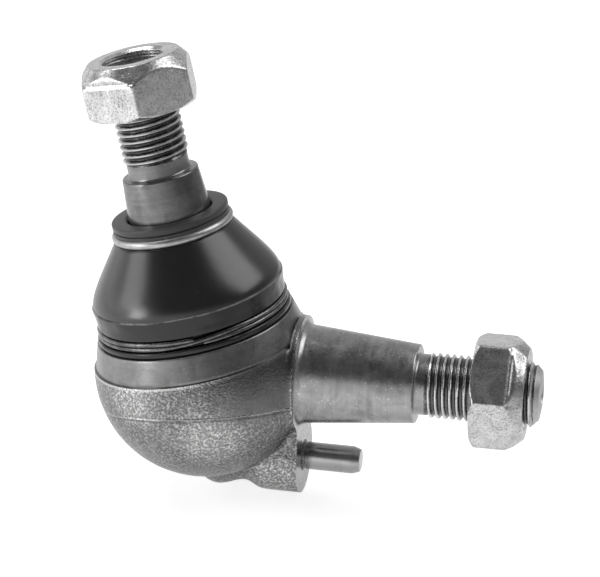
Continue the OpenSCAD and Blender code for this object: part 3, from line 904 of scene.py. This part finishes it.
stud = turned("ball_stud_turned", [
    (0, BALL_FLAT), (5.54, BALL_FLAT, 0.3), *arc(BALL_R, -66, 60, 43), (STUD_NECK_R, 13.2, 0.8),
    (STUD_NECK_R, 19, 3.0), (COLLAR_R, 27, 2.0), (COLLAR_R, 33, 3.0), (TAPER_TOP_R, TAPER_TOP_Z, 0.3),
    (STUD_RELIEF_R, TAPER_TOP_Z, 0.5), (STUD_RELIEF_R, 47.2), (5.6, 47.6), (0, 47.6)],
    on_socket, around=160)
stud_thread = threaded_end("stud_thread", STUD_THREAD_Z, STUD_TIP, on_socket, stud_thread_steel)
join(stud, stud_thread)
stud_h = in_axes(stud, on_socket)[1]
numbers = (stud_h > TAPER_TOP_Z + 0.25) + 1 * (stud_h > STUD_THREAD_Z - 0.1)
set_finishes(stud, [stud_steel, land_steel, stud_thread_steel], numbers)
soften(stud, 38)
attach(stud, "stud")
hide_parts("ball_stud")
tell(stud)

# %% [markdown]
# ## Lock nuts
# Each nut is a hexagon with a tall cone on its outer side. The cone and the seat's chamfer cut the
# flats in curved edges. This also follows a rule: spin the nut's outline, and pull every point in to
# the flats of a hexagon. A soft minimum rounds each edge a little. Two opposite flats are pressed in
# near the top, which is what makes the nut lock.

# %% Geometry Nodes tree: hexagon nut
SIXTH = FULL_TURN / 6

nut_tree, given, out = geometry_tree(
    "Hexagon Nut", Across_Flats=22.0 * MM, Edge_Softness=0.5 * MM, Press_Height=8.0 * MM,
    Press_Depth=0.2 * MM, Columns=361, Rows=230)
grid, turn, row = unit_grid(nut_tree, given["Columns"], given["Rows"])
angle = turn * FULL_TURN
outline_curve = take(nut_tree, "GeometryNodeMeshToCurve", {"Mesh": given["Geometry"]})
drawn = take(nut_tree, "GeometryNodeSampleCurve", {"Curves": outline_curve, "Factor": row},
             "Position", mode="FACTOR")
drawn_r, _, drawn_z = parts(drawn)

# Flats with soft edges
part_turn = calc("FLOORED_MODULO", angle, SIXTH)
half_flats = given["Across Flats"] * 0.5
this_flat = half_flats / calc("COSINE", part_turn)
next_flat = half_flats / calc("COSINE", SIXTH - part_turn)
hexagon = calc("SMOOTH_MIN", this_flat, next_flat, given["Edge Softness"])
nut_radius = calc("SMOOTH_MIN", drawn_r, hexagon, given["Edge Softness"])

# The pressed lock: a groove, and all above it a little further in, on two flats only
over_press = drawn_z - given["Press Height"]
groove = calc("EXPONENT", (over_press / (0.42 * MM)) ** 2.0 * -1.0)
pressed = ease(over_press, -0.3 * MM, 0.4 * MM) * 0.45 + groove
on_two_flats = ease(abs(calc("COSINE", angle)), 0.82, 0.87)
outer_only = ease(drawn_r, 9.0 * MM, 10.5 * MM)
pressed = pressed * on_two_flats * (outer_only * given["Press Depth"])
close_tree(roll_up(grid, nut_radius - pressed, angle, drawn_z), given, out, merge=True)

# %% Both nuts
NUT_H, NUT_CORNER_H, NUT_CORNER_R, NUT_TOP_R, NUT_BORE_R = 11.0, 7.4, 12.70, 9.6, 7.05
STUD_NUT_Z, SHANK_NUT_X, TAPPED_BORE_R = 58.2, 36.8, 6.25


def lock_nut(name, seat_mm, axes, turn_degrees, bore_r):
    """Nut from its closed outline, on its axis, turned as in the photograph."""
    points = rounded([
        (bore_r + 0.5, 0, 0.1), (11.27, 0, 0.25), (NUT_CORNER_R, 1.1, 0.3),
        (NUT_CORNER_R, NUT_CORNER_H, 0.4), (NUT_TOP_R, NUT_H, 0.35), (bore_r + 0.75, NUT_H, 0.15),
        (bore_r, NUT_H - 0.6, 0.1), (bore_r, 0.5, 0.1)], True)
    links = [(k, (k + 1) % len(points)) for k in range(len(points))]
    mesh = bpy.data.meshes.new(name)
    mesh.from_pydata([(p.x * MM, 0, p.y * MM) for p in points], links, [])
    piece = place(name, mesh)
    apply_tree(piece, nut_tree, across_flats=22 * MM, edge_softness=0.55 * MM, press_height=7.9 * MM,
               press_depth=0.28 * MM, material=zinc)
    seat = axes @ Matrix.Translation((0, 0, seat_mm * MM))
    piece.data.transform(seat @ Matrix.Rotation(math.radians(turn_degrees + 30), 4, "Z"))
    tell(piece)
    return piece


stud_nut = lock_nut("stud_nut_zinc", STUD_NUT_Z, on_socket, 43, TAPPED_BORE_R)
shank_nut = lock_nut("shank_nut_zinc", SHANK_NUT_X, on_shank, 19, NUT_BORE_R)

# %% [markdown]
# The stud stops inside its nut, so the nut's own thread shows in the open mouth. A tap cuts it: the
# same thread tree makes the tap, a little larger than the stud's thread. Below, where the stud fills
# the nut, the bore is opened to run clear of the crests, so that the nut can turn in every pose.

# %% Tap the stud nut
tap = thread_solid("tap", STUD_NUT_Z + 4.9, STUD_NUT_Z + 12.5, on_socket, zinc,
                   crest_radius=7.05 * MM, root_radius=6.2 * MM, start_radius=6.4 * MM,
                   run_out=0.6 * MM, end_radius=7.0 * MM, chamfer=0.1 * MM)
cut(stud_nut, tap)
reamer = turned("reamer", [(0, 57.5), (NUT_BORE_R, 57.5), (NUT_BORE_R, 63.3, 0.2), (0, 63.3)], on_socket)
cut(stud_nut, reamer)
for piece, body, node in ((stud_nut, "stud_nut", "stud_nut"), (shank_nut, "shank_nut", "shank_nut")):
    set_finishes(piece, [zinc], np.zeros(len(piece.data.polygons)))
    soften(piece, 62)
    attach(piece, body)
    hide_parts(node)
print("nuts tapped and placed")

# %% [markdown]
# ## Dust boot
# The boot is one moulding. From below: a bead on the land, the groove for the lower ring, a band up to
# the ridge where the mould halves met, the bell, the groove for the upper ring, and the thick disc
# that seals on the stud's collar. It is made as a fine closed mesh.

# %% Dust boot
BELL_CORNERS = ((20.42, 18.42), (20.25, 20.8), (17.1, 24.54), (12.7, 31.14))
DISC_Z, DISC_HOLE_R, RING_Z, RING_R, RING_GROOVE_R = 35.4, 9.06, 32.12, 12.07, 1.03
FOOT_Z, WALL, POLISHED_FROM, POLISHED_TO = 10.35, 1.5, 18.3, 31.0


def bell_point(s, inset=0.0):
    """Radius and height on the boot's bell, from 0 at the ridge to 1 under the upper ring."""
    weights = ((1 - s) ** 3, 3 * s * (1 - s) ** 2, 3 * s * s * (1 - s), s ** 3)
    r, z = (sum(w * corner[i] for w, corner in zip(weights, BELL_CORNERS)) for i in range(2))
    return r - inset, z - inset * s * 0.6


boot_outline = [
    (18.85, FOOT_Z, 0.2), (21.1, FOOT_Z, 0.4), (21.1, 11.6, 0.4), (19.65, 11.6, 0.15),
    (19.65, 13.84, 0.15), (20.4, 13.84, 0.4), (20.45, 15.5, 1.5), (20.75, 17.95, 0.12),
    (20.7, 18.15, 0.08), (20.42, 18.28, 0.06), *[bell_point(k / 40) for k in range(41)],
    *arc(RING_GROOVE_R, -62, -298, 22, (RING_R, RING_Z)),
    (12.42, 33.16, 0.1), (12.44, 33.7, 0.12), (12.1, 33.82, 0.08), (12.1, 33.95, 0.08),
    (12.48, 34.1, 0.12), (12.5, DISC_Z - 0.05, 0.35), (9.5, DISC_Z, 0.3),
    (DISC_HOLE_R, DISC_Z - 0.45, 0.2), (DISC_HOLE_R, 29.94, 0.3),
    *[bell_point(k / 32, WALL) for k in range(26, -1, -1)], (19.0, 14.8, 0.3), (18.85, 13.8, 0.2)]
boot = turned("dust_boot_rubber", boot_outline, on_socket, closed=True, around=192, steps=5)
boot_h = in_axes(boot, on_socket)[1]
numbers = (boot_h > POLISHED_FROM) & (boot_h < POLISHED_TO)
set_finishes(boot, [dull_rubber, rubber], numbers)
soften(boot, 50)
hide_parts("dust_boot")
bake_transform(boot)
tell(boot)

# %% [markdown]
# The lower ring is one length of spring wire, wound twice. It lies flat for a turn, steps up, and lies
# flat again, with its two cut ends a short way apart. A wire follows a path, so Geometry Nodes sweep
# it along a line of points.

# %% Geometry Nodes tree: two-turn wire ring
wire_tree, given, out = geometry_tree(
    "Two Turn Wire", Ring_Radius=20.0 * MM, Wire_Radius=0.5 * MM, Low=12.0 * MM, High=13.0 * MM,
    Turns=2.0, First_Angle=0.0, Points=420)
points = take(wire_tree, "GeometryNodeMeshLine", {"Count": given["Points"]})
share = take(wire_tree, "GeometryNodeInputIndex") / (given["Points"] - 1.0)
wire_angle = share * given["Turns"] * FULL_TURN + given["First Angle"]
height = ease(share, 0.46, 0.54, given["Low"], given["High"])
path = take(wire_tree, "GeometryNodeMeshToCurve",
            {"Mesh": roll_up(points, given["Ring Radius"], wire_angle, height)})
section = take(wire_tree, "GeometryNodeCurvePrimitiveCircle",
               {"Resolution": 20, "Radius": given["Wire Radius"]})
swept = take(wire_tree, "GeometryNodeCurveToMesh",
             {"Curve": path, "Profile Curve": section, "Fill Caps": True})
close_tree(swept, given, out)

# %% Lower ring
lower_ring = place("boot_lower_ring_wire", bpy.data.meshes.new("boot_lower_ring_wire"))
apply_tree(lower_ring, wire_tree, ring_radius=20.25 * MM, wire_radius=0.525 * MM, low=12.2 * MM,
           high=13.24 * MM, turns=1.985, first_angle=math.radians(-68), material=spring_wire)
lower_ring.data.transform(on_socket)
soften(lower_ring, 50)
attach(lower_ring, "housing")
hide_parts("boot_lower_ring")
tell(lower_ring)

# %% [markdown]
# The upper ring, the closing ring and the plastic seat have the right shape as packed, so they stay
# and only get a better finish.

# %% Finishes of the CAD pieces that stay
for node, material in (("boot_upper_ring", bright_wire), ("closing_ring", ring_steel),
                       ("bearing_seat", plastic)):
    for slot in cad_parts[node].material_slots:
        slot.link = "OBJECT"
        slot.material = material
    print(node, "->", material.name)

# %% [markdown]
# ## Studio
# The photograph shows the part on pure white under large soft lights. The floor is pale and sits just
# under the lug. The world is white to the camera. The metal sees a bright band round the horizon,
# brighter on the left, under a dark ceiling, and a floor that shines a little near the part. That
# puts the dark and bright bands into the turned surfaces.

# %% Floor
FLOOR_HALF, FLOOR_GAP = 3.0, 0.3


def pale_floor():
    material, at = new_material("Pale floor")
    across = parts(at)[0]
    rays = add(at.tree, "ShaderNodeLightPath").outputs
    in_metal = ease(across, 0.14, -0.02, 0.0, 0.50) + ease(across, -0.12, -0.24, 0.0, -0.05)
    seen = Value(rays["Is Camera Ray"]) * 0.74 + Value(rays["Is Glossy Ray"]) * in_metal
    tone = ramp(noise(at, 3.0, 2.0), (0.0, 0.80), (1.0, 0.82))
    feed_all(material.node_tree.nodes["Principled BSDF"].inputs,
             {"Base Color": tone, "Roughness": 0.9, "Emission Color": grey(1.0), "Emission Strength": seen})
    return material


floor_z = cad_low.z - FLOOR_GAP * MM
floor_mesh = bpy.data.meshes.new("floor")
floor_corners = [(x * FLOOR_HALF, y * FLOOR_HALF, floor_z) for x, y in ((-1, -1), (1, -1), (1, 1), (-1, 1))]
floor_mesh.from_pydata(floor_corners, [], [(0, 1, 2, 3)])
floor = place("floor", floor_mesh)
floor.data.materials.append(pale_floor())
print("floor at z =", round(floor_z / MM, 2), "mm")

# %% Camera, at the photograph's place
photo_right = Vector((0.97525, 0.22111, 0.00071))
photo_up = Vector((-0.08433, 0.36898, 0.9256))
photo_back = Vector((0.2044, -0.90275, 0.3785))
camera_data = bpy.data.cameras.new("Camera")
camera_data.lens = 125.404
camera_data.sensor_width = 36.0
camera_data.clip_start = 0.01
camera = place("Camera", camera_data)
turn_matrix = Matrix((photo_right, photo_up, photo_back)).transposed()
camera.matrix_world = Matrix.Translation((0.08884, -0.39651, 0.18564)) @ turn_matrix.to_4x4()
scene.camera = camera
print("camera", round(camera.location.length / MM), "mm from the origin, lens", camera_data.lens)

# %% Lights
def softbox(name, at, watts, width, height, target=(-0.012, 0, 0.018)):
    """Large soft area light that faces the part."""
    data = bpy.data.lights.new(name, "AREA")
    data.shape = "RECTANGLE"
    data.size = width
    data.size_y = height
    data.energy = watts
    light = place(name, data)
    light.location = at
    light.rotation_euler = (Vector(at) - Vector(target)).to_track_quat("Z", "Y").to_euler()


softbox("high left softbox", (-0.34, 0.08, 0.62), 1.5, 0.30, 0.42)
softbox("left softbox", (-0.66, -0.24, 0.32), 0.8, 0.34, 0.34)
softbox("low left softbox", (-0.56, -0.44, 0.14), 0.8, 0.20, 0.24)
softbox("high right softbox", (0.46, 0.14, 0.56), 2.1, 0.50, 0.60)

# %% World: a bright band round the horizon under a dark ceiling
world = bpy.data.worlds.new("Studio")
scene.world = world
world.use_nodes = True
sky = world.node_tree
direction = take(sky, "ShaderNodeTexCoord", output="Generated")


def facing(*towards):
    """How far a ray points towards a direction, from -1 to 1."""
    return take(sky, "ShaderNodeVectorMath", {0: direction, 1: towards}, "Value",
                operation="DOT_PRODUCT")


to_camera = facing(0.2208, -0.9753, 0)
to_right = facing(0.9753, 0.2208, 0)
wall = to_right * -0.62 + (to_camera * 0.05 + 0.80)
ceiling = largest(to_camera * -1.0, 0.0) * 0.5 + 0.09
glow = (wall - ceiling) * ease(facing(0, 0, 1), 0.42, 0.0) + ceiling
white_to_camera = take(sky, "ShaderNodeLightPath", output="Is Camera Ray")
feed_all(sky.nodes["Background"].inputs,
         {"Color": grey(1.0), "Strength": largest(glow, white_to_camera)})
scene.view_settings.view_transform = "Standard"
print("world:", world.name)
